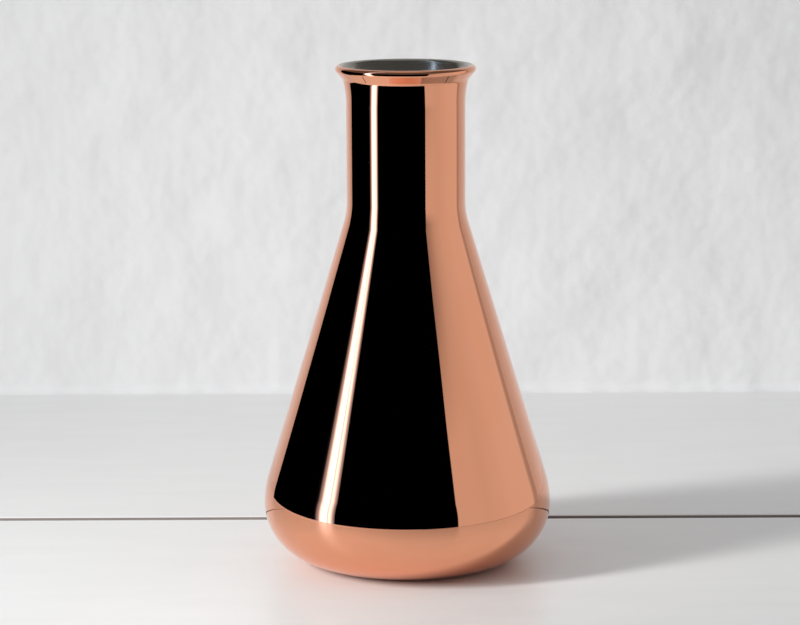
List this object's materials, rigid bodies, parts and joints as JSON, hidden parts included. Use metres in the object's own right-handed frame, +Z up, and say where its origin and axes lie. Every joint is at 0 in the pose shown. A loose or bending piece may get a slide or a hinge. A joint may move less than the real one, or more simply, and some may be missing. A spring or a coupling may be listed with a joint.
{
  "type": "insulated conical flask",
  "caption": "Double-walled conical flask with a straight neck, a rolled lip and a rounded base, copper outside and steel inside.",
  "frame": {"origin": "on the axis, on the plane that the flask stands on", "axes": "+Z up along the axis, out of the mouth; the flask is round, so +X and +Y are free"},
  "size_m": [0.136, 0.136, 0.236],
  "materials": {
    "copper_plate": "mirror-polished copper plating on steel sheet",
    "liner_steel": "polished stainless steel with faint turning marks",
    "foot_rubber": "matt silicone rubber",
    "getter_metal": "dull sintered metal",
    "solder_glass": "fused solder glass"
  },
  "bodies": {
    "root": {"outer_body": "copper_plate", "outer_bowl": "copper_plate", "bottom_cap": "copper_plate", "foot_ring": "foot_rubber", "liner_body": "liner_steel", "liner_bowl": "liner_steel", "getter": "getter_metal", "port_seal": "solder_glass"}
  },
  "joints": []
}
